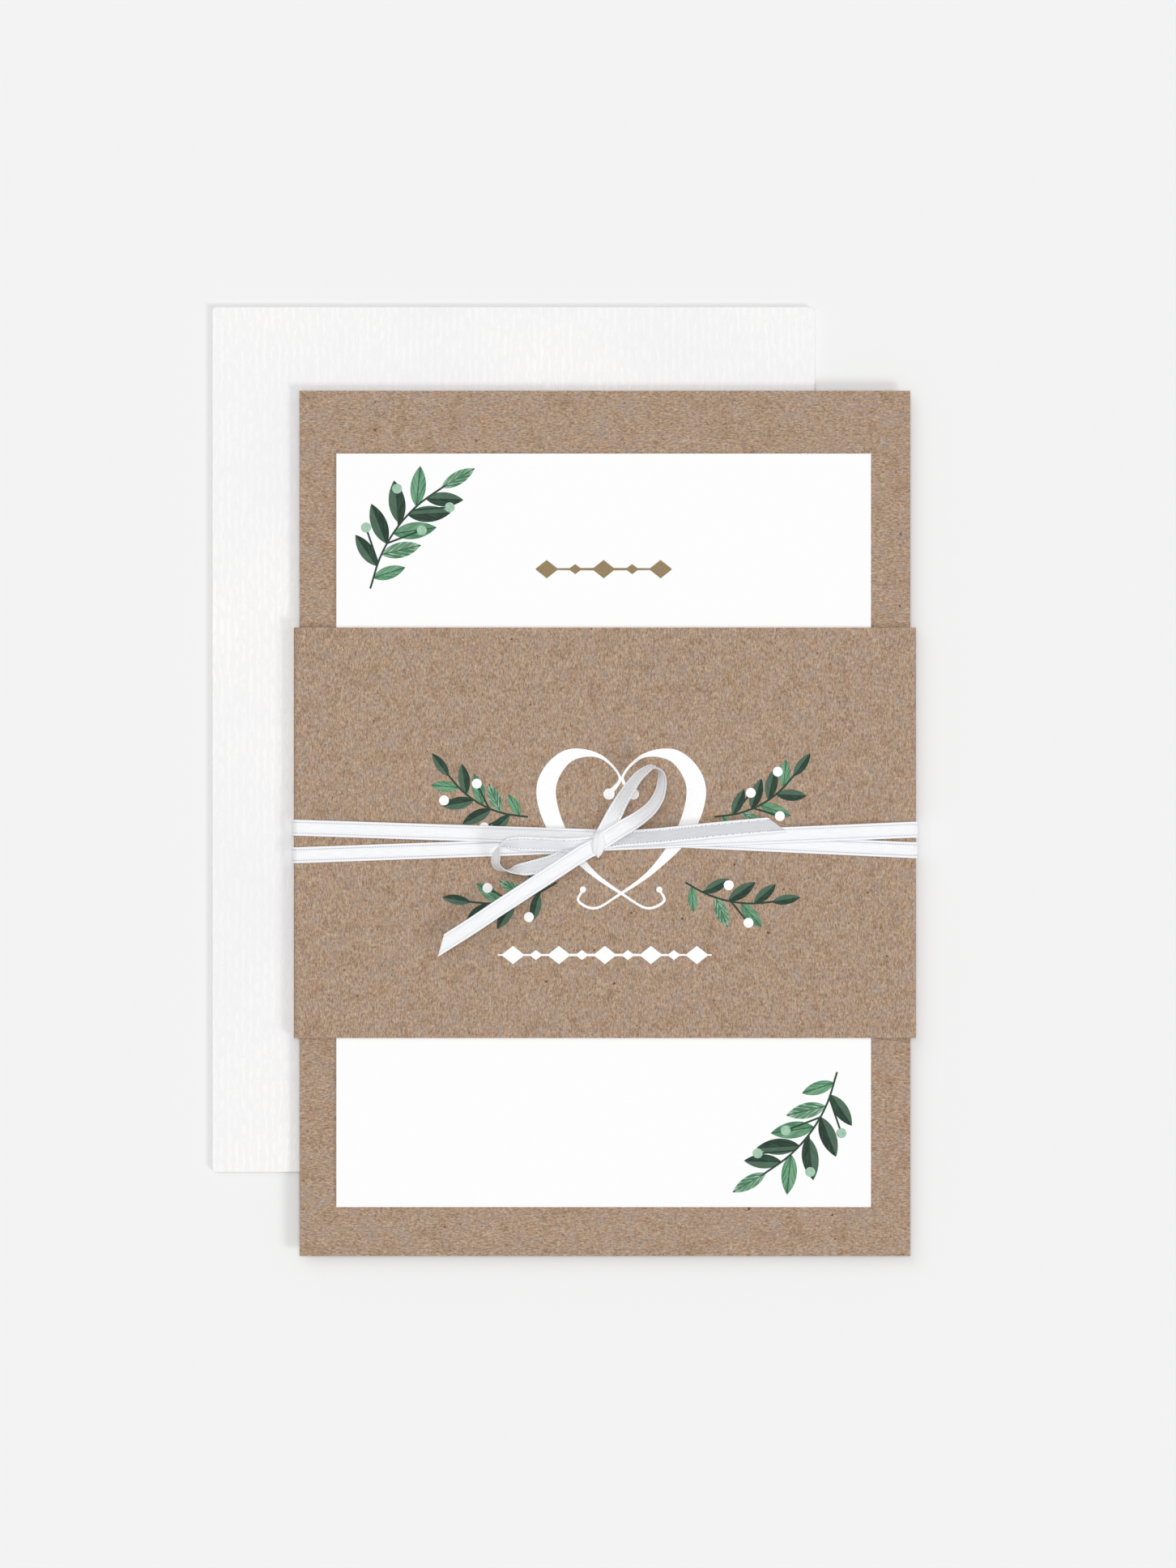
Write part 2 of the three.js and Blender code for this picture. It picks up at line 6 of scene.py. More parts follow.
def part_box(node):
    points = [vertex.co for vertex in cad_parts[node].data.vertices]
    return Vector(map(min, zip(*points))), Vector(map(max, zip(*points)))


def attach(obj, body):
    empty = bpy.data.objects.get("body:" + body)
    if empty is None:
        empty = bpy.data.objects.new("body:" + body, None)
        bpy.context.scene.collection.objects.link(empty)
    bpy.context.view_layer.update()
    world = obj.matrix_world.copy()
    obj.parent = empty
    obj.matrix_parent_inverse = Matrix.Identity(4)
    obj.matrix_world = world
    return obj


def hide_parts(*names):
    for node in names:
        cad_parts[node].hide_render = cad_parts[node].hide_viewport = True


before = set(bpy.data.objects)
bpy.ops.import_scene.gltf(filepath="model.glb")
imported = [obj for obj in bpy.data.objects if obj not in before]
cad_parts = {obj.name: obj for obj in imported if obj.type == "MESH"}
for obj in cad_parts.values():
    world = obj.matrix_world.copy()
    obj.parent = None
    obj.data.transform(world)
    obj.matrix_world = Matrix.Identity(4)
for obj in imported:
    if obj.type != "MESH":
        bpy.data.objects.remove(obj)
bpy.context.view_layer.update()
mm = 0.001
print("frame loaded")


# Shader maths: a socket that can be used in expressions

class Wire:
    def __init__(self, tree, socket):
        self.tree = tree
        self.socket = socket

    def calc(self, operation, other=None, swapped=False):
        node = self.tree.nodes.new("ShaderNodeMath")
        node.operation = operation
        pair = [self, other] if other is not None else [self]
        if swapped:
            pair.reverse()
        for slot, value in zip(node.inputs, pair):
            if isinstance(value, Wire):
                self.tree.links.new(value.socket, slot)
            else:
                slot.default_value = value
        return Wire(self.tree, node.outputs[0])

    def __add__(self, other):
        return self.calc("ADD", other)

    def __radd__(self, other):
        return self.calc("ADD", other)

    def __sub__(self, other):
        return self.calc("SUBTRACT", other)

    def __rsub__(self, other):
        return self.calc("SUBTRACT", other, swapped=True)

    def __mul__(self, other):
        return self.calc("MULTIPLY", other)

    def __rmul__(self, other):
        return self.calc("MULTIPLY", other)

    def __gt__(self, other):
        return self.calc("GREATER_THAN", other)

    def __abs__(self):
        return self.calc("ABSOLUTE")


class Finish:
    # One material, and the way its nodes are made
    def __init__(self, name):
        self.material = bpy.data.materials.new(name)
        self.material.use_nodes = True
        self.tree = self.material.node_tree
        self.tree.nodes.clear()

    def node(self, kind, settings=None, outlet=0, **values):
        node = self.tree.nodes.new(kind)
        for key, value in (settings or {}).items():
            setattr(node, key, value)
        for key, value in values.items():
            # Inputs that share a name are given by number, as i0 and i1
            numbered = key[0] == "i" and key[1:].isdigit()
            slot = node.inputs[int(key[1:]) if numbered else key.replace("_", " ")]
            if isinstance(value, Wire):
                self.tree.links.new(value.socket, slot)
            else:
                slot.default_value = value
        return Wire(self.tree, node.outputs[outlet]) if node.outputs else None

    def place(self, scale, turn=0.0, outlet="Object"):
        where = self.node("ShaderNodeTexCoord", outlet=outlet)
        return self.node("ShaderNodeMapping", Vector=where, Scale=scale, Rotation=(0, 0, turn))

    def noise(self, where, scale, detail=2.0, roughness=0.5, distortion=0.0):
        return self.node("ShaderNodeTexNoise", Vector=where, Scale=scale, Detail=detail,
                         Roughness=roughness, Distortion=distortion)

    def drifted(self, where, scale, reach):
        # The coordinates, pushed about by a noise
        push = self.node("ShaderNodeTexNoise", outlet="Color", Vector=where, Scale=scale, Detail=2.0)
        push = self.node("ShaderNodeVectorMath", {"operation": "SUBTRACT"}, i0=push, i1=(0.5, 0.5, 0.5))
        push = self.node("ShaderNodeVectorMath", {"operation": "SCALE"}, Vector=push, Scale=reach)
        return self.node("ShaderNodeVectorMath", {"operation": "ADD"}, i0=where, i1=push)

    def step(self, value, low, high):
        # A smooth step from 0 to 1 as value goes from low to high
        return self.node("ShaderNodeMapRange", {"interpolation_type": "SMOOTHSTEP"}, Value=value,
                         From_Min=low, From_Max=high)

    def mix(self, factor, first, second):
        node = self.tree.nodes.new("ShaderNodeMix")
        node.data_type = "RGBA"
        for key, value in ((0, factor), (6, first), (7, second)):
            if isinstance(value, Wire):
                self.tree.links.new(value.socket, node.inputs[key])
            else:
                node.inputs[key].default_value = value
        return Wire(self.tree, node.outputs[2])

    def bump(self, height, distance, strength=1.0):
        return self.node("ShaderNodeBump", Strength=strength, Distance=distance, Height=height)

    def finish(self, **sockets):
        shader = self.node("ShaderNodeBsdfPrincipled", **sockets)
        self.node("ShaderNodeOutputMaterial", Surface=shader)
        return self.material


def shade(red, green, blue):
    # A colour read off as 0 to 255 in display values, turned linear
    def linear(value):
        value /= 255
        return value / 12.92 if value <= 0.04045 else ((value + 0.055) / 1.055) ** 2.4
    return (linear(red), linear(green), linear(blue), 1.0)


# Papers and cards

kraft = {
    "base": shade(171, 142, 119),
    "pale": shade(212, 188, 164),
    "dark": shade(119, 92, 69),
    "warm": shade(183, 138, 101),
    "cool": shade(156, 146, 143),
    "speck": shade(76, 54, 40),
    "rust": shade(146, 96, 58),
    "straw": shade(216, 196, 172),
    # Millimetres
    "fibreLength": 0.85,
    "fibreWidth": 0.175,
    # How strongly each layer of colour shows, from 0 to 1
    "evenness": 0.28,
    "strandShare": 0.6,
    "tuftShare": 0.5,
    "coolCloudShare": 0.28,
    "darkCloudShare": 0.24,
    "singleFibreShare": 0.4,
    # Single fibres: length and width of their noise in millimetres, its level, and the colour
    "singleFibres": ((11, 2.3, 0.5, "rust"), (9, 1.9, 0.45, "dark"), (10, 2.1, 0.56, "straw")),
    # Specks: cells per millimetre, radius in cells, share of cells left empty, strength
    "specks": ((0.3, 0.07, 0.75, 0.85), (0.75, 0.1, 0.78, 0.5), (1.3, 0.13, 0.8, 0.35)),
}


def kraftFinish(name, upright):
    # Short fibres, mostly along X, or along Y where upright is true, wandering off line a little
    m = Finish(name)
    where = m.node("ShaderNodeTexCoord", outlet="Object")
    wavy = m.drifted(where, 0.55 / mm, 0.45 * mm)
    ragged = m.drifted(wavy, 2.6 / mm, 0.6 * mm)

    def grain(length, width, **settings):
        scale = (1 / width, 1 / length, 1 / width) if upright else (1 / length, 1 / width, 1 / width)
        scale = tuple(value / mm for value in scale)
        place = m.node("ShaderNodeMapping", Vector=wavy, Scale=scale)
        return m.noise(place, 1.0, **settings)

    fine = grain(kraft["fibreLength"], kraft["fibreWidth"], detail=4.0, roughness=0.7)
    strands = grain(kraft["fibreLength"] * 3.3, kraft["fibreWidth"] * 1.9, detail=3.0, roughness=0.65)
    tufts = m.noise(wavy, 2.1 / mm, detail=2.0, roughness=0.6)
    clouds = m.noise(wavy, 0.3 / mm, detail=3.0, roughness=0.65)
    colour = m.mix(m.step(fine, 0.33, 0.67), kraft["dark"], kraft["pale"])
    colour = m.mix(kraft["evenness"], colour, kraft["base"])
    colour = m.mix(m.step(strands, 0.52, 0.68) * kraft["strandShare"], colour, kraft["cool"])
    colour = m.mix(m.step(strands, 0.48, 0.32) * kraft["strandShare"], colour, kraft["warm"])
    colour = m.mix(m.step(tufts, 0.54, 0.7) * kraft["tuftShare"], colour, kraft["dark"])
    colour = m.mix(m.step(tufts, 0.44, 0.3) * kraft["tuftShare"], colour, kraft["pale"])
    colour = m.mix(m.step(clouds, 0.45, 0.7) * kraft["coolCloudShare"], colour, kraft["cool"])
    colour = m.mix(m.step(clouds, 0.5, 0.3) * kraft["darkCloudShare"], colour, kraft["dark"])
    # Single fibres lie on the contours of a slow noise, where a second noise lets them show
    for length, width, level, tint in kraft["singleFibres"]:
        line = m.step(abs(grain(length, width, detail=0.0) - level), 0.011, 0.004)
        shown = m.step(grain(2.4, 1.6, detail=1.0, distortion=level), 0.54, 0.6)
        colour = m.mix(line * shown * kraft["singleFibreShare"], colour, kraft[tint])
    for scale, radius, share, depth in kraft["specks"]:
        near = {"Vector": ragged, "Scale": scale / mm, "Randomness": 1.0}
        distance = m.node("ShaderNodeTexVoronoi", outlet="Distance", **near)
        cell = m.node("ShaderNodeTexVoronoi", outlet="Color", **near)
        chance = m.node("ShaderNodeSeparateColor", Color=cell)
        speck = m.step(distance, radius * 1.5, radius * 0.7) * (chance > share)
        colour = m.mix(speck * depth, colour, kraft["speck"])
    height = fine * 0.6 + tufts * 0.4
    rough = m.step(fine, 0.2, 0.8) * 0.12 + 0.8
    return m.finish(Base_Color=colour, Roughness=rough, Normal=m.bump(height, 0.00004, 0.35),
                    Specular_IOR_Level=0.2)


envelopePaper = {
    "ribSpacing": 1.43 * mm,
    "ribWander": 0.9,
    "dashWidth": 0.7 * mm,
    "dashLength": 2.6 * mm,
    "tooth": 0.4 * mm,
    # Bright and dull: the paper goes between them in broad clouds of painted soft shade
    "bright": shade(253, 252, 250),
    "dull": shade(246, 245, 246),
    # Painted shade for the low parts of the ribs
    "grooveShade": shade(240, 239, 240),
    "grooveShadeShare": 0.7,
}


def ribbedFinish():
    # White laid paper: faint upright ribs, broken into dashes, with a soft tooth between them
    paper = envelopePaper
    m = Finish("ribbed white paper")
    where = m.node("ShaderNodeTexCoord", outlet="Object")
    wander = m.noise(m.place((60, 160, 1)), 1.0, detail=3.0)
    apart = m.node("ShaderNodeSeparateXYZ", Vector=where)
    ribs = ((apart * (1 / paper["ribSpacing"]) + wander * paper["ribWander"]) * (2 * math.pi)).calc("SINE")
    dashScale = (1 / paper["dashWidth"], 1 / paper["dashLength"], 1 / mm)
    dashes = m.noise(m.place(dashScale), 1.0, detail=3.0, roughness=0.65)
    tooth = m.noise(m.place((1 / paper["tooth"],) * 3), 1.0, detail=2.0)
    height = m.step(ribs, -0.6, 1.0) * m.step(dashes, 0.42, 0.62) * 0.6 + dashes * 0.5 + tooth * 0.25
    # Broad clouds of painted soft shade over the white paper
    clouds = m.noise(m.place((22, 22, 22)), 1.0, detail=2.0)
    colour = m.mix(m.step(clouds, 0.3, 0.7), paper["dull"], paper["bright"])
    # The low parts of the ribs are darkened by painted shade
    raised = m.step(height, 0.15, 0.75) * paper["grooveShadeShare"] + (1 - paper["grooveShadeShare"])
    colour = m.mix(raised, paper["grooveShade"], colour)
    return m.finish(Base_Color=colour, Roughness=0.75, Normal=m.bump(height, 0.00006, 0.6),
                    Specular_IOR_Level=0.3)


def smoothWhiteFinish():
    m = Finish("smooth white card")
    tooth = m.noise(m.place((1 / (0.18 * mm),) * 3), 1.0, detail=2.0)
    colour = m.mix(tooth, shade(250, 250, 250), shade(253, 253, 253))
    return m.finish(Base_Color=colour, Roughness=0.62, Normal=m.bump(tooth, 0.00001, 0.25),
                    Specular_IOR_Level=0.3)


def inkFinish(name, colour, deeper):
    # Flat print: the card's tooth shows through, and the ink is a little uneven
    m = Finish(name)
    uneven = m.noise(m.place((1 / (0.6 * mm),) * 3), 1.0, detail=3.0)
    mixed = m.mix(m.step(uneven, 0.35, 0.7) * 0.6, colour, deeper)
    return m.finish(Base_Color=mixed, Roughness=0.6, Normal=m.bump(uneven, 0.00001, 0.3),
                    Specular_IOR_Level=0.3)


def leafFinish():
    # Painted leaf on its own UV map: x runs from foot to tip, y from 0 to 1 across. Attribute "tone"
    # picks the green, and brush strokes run out from the rib.
    m = Finish("painted leaf print")
    tone = m.node("ShaderNodeAttribute", {"attribute_name": "tone"}, outlet="Fac")
    where = m.node("ShaderNodeTexCoord", outlet="UV")
    along = m.node("ShaderNodeSeparateXYZ", Vector=where)
    across = m.node("ShaderNodeSeparateXYZ", outlet="Y", Vector=where)
    side = abs(across - 0.5)
    slanted = m.node("ShaderNodeCombineXYZ", X=(along - side * 0.9) * 9.0, Y=side * 2.4, Z=tone * 37.0)
    strokes = m.noise(slanted, 1.0, detail=3.0, roughness=0.6)
    deep = m.mix(m.step(tone, 0.35, 0.65), shade(20, 46, 34), shade(66, 122, 86))
    light = m.mix(m.step(tone, 0.35, 0.65), shade(44, 80, 59), shade(116, 170, 132))
    pale = m.mix(m.step(tone, 0.8, 0.86), light, shade(176, 206, 184))
    colour = m.mix(m.step(strokes, 0.44, 0.66), deep, pale)
    rib = m.step(side, 0.045, 0.02)
    colour = m.mix(rib * 0.75, colour, shade(20, 44, 32))
    upper = m.step(across, 0.5, 0.56)
    colour = m.mix(upper * 0.18, colour, shade(150, 192, 160))
    return m.finish(Base_Color=colour, Roughness=0.6, Specular_IOR_Level=0.3)


satinLook = {
    "face": (shade(235, 236, 239), shade(249, 249, 251)),
    # The dull reverse side, made darker still by painted shade
    "back": (shade(195, 197, 202), shade(215, 217, 221)),
    "twill": shade(236, 237, 240),
    "selvedge": shade(247, 248, 250),
    # Painted shade in the stitched seam groove, lilac grey
    "seam": shade(158, 156, 184),
    # A thin line of painted shade along the ribbon's very edge
    "edgeShade": shade(176, 177, 188),
    # Steps along the ribbon in millimetres
    "twillStep": 0.42,
    "stitchStep": 0.52,
    "pickStep": 0.2,
    # From 0 at the ribbon's middle to 1 at its edge
    "seamAt": 0.66,
    "selvedgeAt": (0.7, 0.78),
}


def satinFinish():
    # Ribbon on its own UV map: x runs along it in millimetres, y from 0 to 1 across. Attribute "reverse" is
    # how dull a face is and how far painted shade darkens it, and "stitched" how strongly the painted shade
    # of its seams shows.
    look = satinLook
    m = Finish("white satin")
    where = m.node("ShaderNodeTexCoord", outlet="UV")
    reverse = m.node("ShaderNodeAttribute", {"attribute_name": "reverse"}, outlet="Fac")
    stitchedShade = m.node("ShaderNodeAttribute", {"attribute_name": "stitchedShade"}, outlet="Fac")
    along = m.node("ShaderNodeSeparateXYZ", Vector=where)
    across = m.node("ShaderNodeSeparateXYZ", outlet="Y", Vector=where)
    side = abs(across - 0.5) * 2.0
    drawn = m.node("ShaderNodeCombineXYZ", X=along * 0.4, Y=across * 26.0, Z=reverse * 9.0)
    slub = m.noise(drawn, 1.0, detail=3.0, roughness=0.65)
    twill = ((along * 1.0 + across * 3.2) * (2 * math.pi / look["twillStep"])).calc("SINE")
    # The seam line is painted shade of its groove, broken into dots like its stitches
    seam = m.step(abs(side - look["seamAt"]), 0.085, 0.03)
    dots = m.step((along * (2 * math.pi / look["stitchStep"])).calc("SINE"), -0.35, 0.5)
    # Painted shade along the outermost edge of the ribbon
    edgeShade = m.step(side, 0.93, 0.99)
    face = m.mix(m.step(slub, 0.34, 0.68), *look["face"])
    back = m.mix(m.step(slub, 0.34, 0.68), *look["back"])
    back = m.mix(m.step(twill, -0.4, 0.9) * 0.45, back, look["twill"])
    # Faces go towards the back colour: partly the dull reverse side, partly painted shade
    colour = m.mix(reverse, face, back)
    colour = m.mix(m.step(side, *look["selvedgeAt"]), colour, look["selvedge"])
    # Painted seam shade, as strong as each run's stitched share
    colour = m.mix(seam * (dots * 0.5 + 0.3) * stitchedShade, colour, look["seam"])
    colour = m.mix(edgeShade * 0.4, colour, look["edgeShade"])
    picks = (along * (2 * math.pi / look["pickStep"])).calc("SINE")
    edge = m.step(side, *look["selvedgeAt"])
    height = slub * 0.6 + picks * (edge * 0.3) + twill * reverse * 0.3 - seam
    rough = slub * 0.2 + reverse * 0.2 + 0.3
    return m.finish(Base_Color=colour, Roughness=rough, Normal=m.bump(height, 0.00003, 0.5),
                    Specular_IOR_Level=0.4, Sheen_Weight=0.1, Sheen_Roughness=0.4)


def picotFinish():
    m = Finish("white picot thread")
    twist = m.noise(m.place((1 / (0.12 * mm),) * 3), 1.0, detail=2.0)
    colour = m.mix(twist, shade(246, 246, 249), shade(254, 254, 254))
    return m.finish(Base_Color=colour, Roughness=0.5, Normal=m.bump(twist, 0.00002, 0.4),
                    Specular_IOR_Level=0.35)


def plainMesh(name, points, faces, uvs=None, material=None):
    mesh = bpy.data.meshes.new(name)
    mesh.from_pydata([tuple(p) for p in points], [], faces)
    if uvs:
        layer = mesh.uv_layers.new(name="UVMap")
        for loop in mesh.loops:
            layer.data[loop.index].uv = uvs[loop.vertex_index]
    mesh.update()
    piece = bpy.data.objects.new(name, mesh)
    bpy.context.scene.collection.objects.link(piece)
    if material:
        mesh.materials.append(material)
    return piece


def smooth(piece):
    for face in piece.data.polygons:
        face.use_smooth = True
    return piece


print("finishes ready")

# Ribbon: the solid ribbon's route in plan, with woven edges, and layers that lie over one another

bandLow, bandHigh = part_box("belly_band")
bandTop = bandHigh[2]
bandX = (bandLow[0] + bandHigh[0]) / 2
bandY = (bandLow[1] + bandHigh[1]) / 2
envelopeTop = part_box("envelope")[1][2]
cardLow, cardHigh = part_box("invitation_card")

ribbon = {
    "width": 3.2 * mm,
    "thickness": 0.25 * mm,
    "knotX": -1.3 * mm,
    "knotY": -2.2 * mm,
    "knotLength": 5.2 * mm,
    "knotWidth": 3.1 * mm,
    "knotHeight": 2.2 * mm,
    "tailSlant": 3.6 * mm,
    "tailSlantRoom": 2.4 * mm,
    "ink": 0.03 * mm,
    "bandPaper": 0.35 * mm,
    "turnClearance": 0.1,
}
knotFoot = Vector((bandX + ribbon["knotX"], bandY + ribbon["knotY"], bandTop + ribbon["ink"]))

# Millimetres from the knot's foot, and the roll in degrees
upperTurn = {"leftKnot": 1.3, "leftFold": 3.2, "rightKnot": 0.2, "rightFold": 2.8, "lift": 0.28}
lowerTurn = {"leftKnot": -0.1, "leftFold": -2.2, "rightKnot": 1.6, "rightFold": -1.2, "lift": 0.02}
rightLoop = [
    (0.5, 0.9, 0.97, 0), (2.8, 5.2, 1.05, 4), (4.4, 8.2, 1.7, 29), (6.1, 10.9, 2.4, 42), (8, 13.4, 2.8, 54),
    (10.2, 15, 3, 70), (11.4, 14.9, 3.05, 90), (12.3, 13.9, 3.05, 110), (12.5, 12.4, 2.95, 122),
    (12.2, 10.4, 2.7, 130), (11.5, 8.7, 2.4, 137), (10.1, 6.8, 2.05, 145), (7.7, 4.9, 1.6, 157),
    (4.9, 3.2, 1.53, 176), (2.2, 1.5, 1.36, 178), (0.2, 0.2, 1.28, 180),
]
leftLoop = [
    (0, 0.2, 1.07, 0), (-4.1, -0.3, 1.34, 8), (-7.4, -0.2, 1.65, 31), (-12.3, 0, 1.75, 28),
    (-15.4, 0.1, 1.85, 30), (-17.8, 0.1, 2, 52), (-19.3, -0.5, 2.1, 90), (-20, -2.2, 2.05, 119),
    (-20.1, -3.9, 1.95, 119), (-19.1, -4.9, 1.85, 104), (-17.3, -5.3, 1.75, 80), (-15.5, -5, 1.5, 48),
    (-13.8, -4.8, 1.3, 33), (-11.4, -4.3, 1, 20), (-9.2, -3.7, 0.8, 12), (-6, -2.3, 0.8, 5),
    (-3.2, -1, 0.8, 2), (-0.3, 0, 0.82, 0),
]
leftTail = [
    (0, -0.2, 1.5, 0), (-3.4, -2, 1.74, 0), (-8, -5, 2.06, 0), (-13.5, -8.6, 2.45, 0),
    (-19.5, -12.5, 2.65, 0), (-25.5, -16.5, 2.5, 0), (-30.9, -19.9, 2.2, 0),
]
rightTail = [
    (0, 0.2, 0.68, 0), (3.4, 0.9, 0.69, 0), (6.8, 1.2, 0.8, 0), (12.2, 1.6, 1.05, 0),
    (18, 2.2, 0.95, 0), (26, 3, 0.8, 0), (35.2, 3.8, 0.72, 0),
]


def curveAt(values, share):
    # The uniform Catmull-Rom curve through a list of vectors, and its slope
    spans = len(values) - 1
    at = min(share * spans, spans - 1e-9)
    i = int(at)
    t = at - i
    before = values[i - 1] if i else values[0] * 2 - values[1]
    after = values[i + 2] if i + 2 <= spans else values[spans] * 2 - values[spans - 1]
    a, b = values[i], values[i + 1]
    slopeA, slopeB = (b - before) * 0.5, (after - a) * 0.5
    c2 = (b - a) * 3 - slopeA * 2 - slopeB
    c3 = (a - b) * 2 + slopeA + slopeB
    return a + slopeA * t + c2 * (t * t) + c3 * (t ** 3), slopeA + c2 * (2 * t) + c3 * (3 * t * t)


def freeRun(points, slant=0.0, finest=0.3 * mm):
    # Stations of a loop or a tail: place, direction across the ribbon, and normal. The last ones lean
    # ahead by the slant, which cuts the end at an angle.
    places = [Vector((x, y, z, roll * 0.1)) for x, y, z, roll in points]
    rough = sum((places[i + 1] - places[i]).xyz.length for i in range(len(places) - 1)) * mm
    steps = max(12, int(rough / finest))
    stations = []
    for i in range(steps + 1):
        here, slope = curveAt(places, i / steps)
        ahead = slope.xyz.normalized()
        roll = math.radians(here.w * 10)
        side = ahead.cross(Vector((0, 0, 1))).normalized()
        above = side.cross(ahead)
        across = side * math.cos(roll) + above * math.sin(roll)
        normal = across.cross(ahead).normalized()
        reach = slant / ribbon["width"]
        lean = ahead * reach * max(0.0, 1 - (steps - i) * finest / ribbon["tailSlantRoom"])
        stations.append((knotFoot + here.xyz * mm, across + lean, normal))
    return stations


def partingShare(side):
    # Share of the way from the knot to the fold from which the two turns lie beside each other
    knotGap = upperTurn[side + "Knot"] - lowerTurn[side + "Knot"]
    foldGap = upperTurn[side + "Fold"] - lowerTurn[side + "Fold"]
    return (ribbon["width"] / mm + ribbon["turnClearance"] - knotGap) / (foldGap - knotGap)


def turnRound(turn):
    # Stations of one turn round the band, from the knot over the left fold and back to the knot
    across = Vector((0, 1, 0))
    up = Vector((0, 0, 1))
    frontZ = bandTop + ribbon["ink"] + ribbon["thickness"] / 2
    backZ = envelopeTop + ribbon["thickness"] / 2
    radius = (frontZ - backZ) / 2
    middle = (frontZ + backZ) / 2
    foldX = (bandHigh[0] - bandLow[0]) / 2 - foldRadius
    bend = 18
    stations = []

    def run(start, end, normal, spacing=2 * mm):
        count = max(2, int((end - start).length / spacing))
        for i in range(count):
            stations.append((start.lerp(end, i / count), across, normal))

    def fromKnot(knot, top, side):
        # Stays lifted until the turns have parted, then comes down to the band
        parting = partingShare(side)
        count = int((top - knot).length / (1.5 * mm))
        places = []
        for i in range(count + 1):
            place = knot.lerp(top, i / count)
            fallen = min(1.0, max(0.0, (i / count - parting) / (1 - parting)))
            place.z = frontZ + turn["lift"] * mm * (1 - fallen * fallen * (3 - 2 * fallen))
            places.append((place, across, up))
        return places

    def fold(top, start):
        for i in range(bend):
            angle = start + math.pi * i / bend
            normal = Vector((math.cos(angle), 0, math.sin(angle)))
            stations.append((Vector((top.x, top.y, middle)) + normal * radius, across, normal))

    leftTop = Vector((bandX - foldX, knotFoot.y + turn["leftFold"] * mm, frontZ))
    rightTop = Vector((bandX + foldX, knotFoot.y + turn["rightFold"] * mm, frontZ))
    knotLeft = Vector((knotFoot.x, knotFoot.y + turn["leftKnot"] * mm, frontZ + turn["lift"] * mm))
    knotRight = Vector((knotFoot.x, knotFoot.y + turn["rightKnot"] * mm, frontZ + turn["lift"] * mm))
    leftUnder = Vector((leftTop.x, leftTop.y, backZ))
    rightUnder = Vector((rightTop.x, rightTop.y, backZ))
    stations.extend(fromKnot(knotLeft, leftTop, "left")[:-1])
    fold(leftTop, math.pi / 2)
    run(leftUnder, rightUnder, -up)
    fold(rightTop, -math.pi / 2)
    stations.extend(reversed(fromKnot(knotRight, rightTop, "right")))
    return stations


foldRadius = (bandTop - (bandLow[2] + ribbon["bandPaper"])) / 2

# Height of the section over the ribbon's middle, as shares of half the width and half the thickness
section = [
    (-1.0, 0.0), (-0.985, 0.55), (-0.94, 0.95), (-0.87, 1.0), (-0.78, 0.9), (-0.71, 0.4), (-0.62, 0.36),
    (-0.55, 0.6), (-0.3, 0.7), (0.0, 0.74), (0.3, 0.7), (0.55, 0.6), (0.62, 0.36), (0.71, 0.4),
    (0.78, 0.9), (0.87, 1.0), (0.94, 0.95), (0.985, 0.55), (1.0, 0.0),
]


def strapMesh(stations, points, faces, uvs, looks, dullSide, dullnessAndShade, stitchedShade, start=0.0):
    # One closed strip with the woven section, added to the lists. dullSide is 1 where its dull side
    # lies along the normals, else -1.
    ring = section + [(s, -h) for s, h in reversed(section[1:-1])]
    size = len(ring)
    first = len(points)
    travelled = start
    previous = None
    for centre, across, normal in stations:
        if previous is not None:
            travelled += (centre - previous).length
        previous = centre
        for s, h in ring:
            place = centre + across * (s * ribbon["width"] / 2) + normal * (h * ribbon["thickness"] / 2)
            points.append(place)
            uvs.append((travelled / mm, (s + 1) / 2))
            looks.append((dullnessAndShade if h * dullSide > 0 else 0.0, stitchedShade))
    for i in range(len(stations) - 1):
        for k in range(size):
            a = first + i * size + k
            b = first + i * size + (k + 1) % size
            faces.append((a, a + size, b + size, b))
    last = first + (len(stations) - 1) * size
    faces.append(tuple(first + k for k in range(size)))
    faces.append(tuple(last + k for k in reversed(range(size))))
    return travelled


satin = satinFinish()
points, faces, uvs, looks = [], [], [], []
travelled = 0.0
runs = (
    # The dull side's share sets how dull each run's dull side is and how much painted shade darkens it
    {"stations": turnRound(lowerTurn), "dullSide": -1, "dullnessAndShade": 1.0, "stitchedShade": 1.0},
    {"stations": turnRound(upperTurn), "dullSide": -1, "dullnessAndShade": 1.0, "stitchedShade": 0.8},
    {"stations": freeRun(rightLoop), "dullSide": 1, "dullnessAndShade": 0.15, "stitchedShade": 0.5},
    {"stations": freeRun(leftLoop), "dullSide": 1, "dullnessAndShade": 0.35, "stitchedShade": 0.6},
    {"stations": freeRun(leftTail, -ribbon["tailSlant"]), "dullSide": -1, "dullnessAndShade": 1.0,
     "stitchedShade": 0.45},
    {"stations": freeRun(rightTail, ribbon["tailSlant"]), "dullSide": 1, "dullnessAndShade": 1.0,
     "stitchedShade": 0.7},
)
for run in runs:
    travelled = strapMesh(points=points, faces=faces, uvs=uvs, looks=looks, start=travelled, **run)
print("ribbon runs, metres of ribbon:", round(travelled, 3))


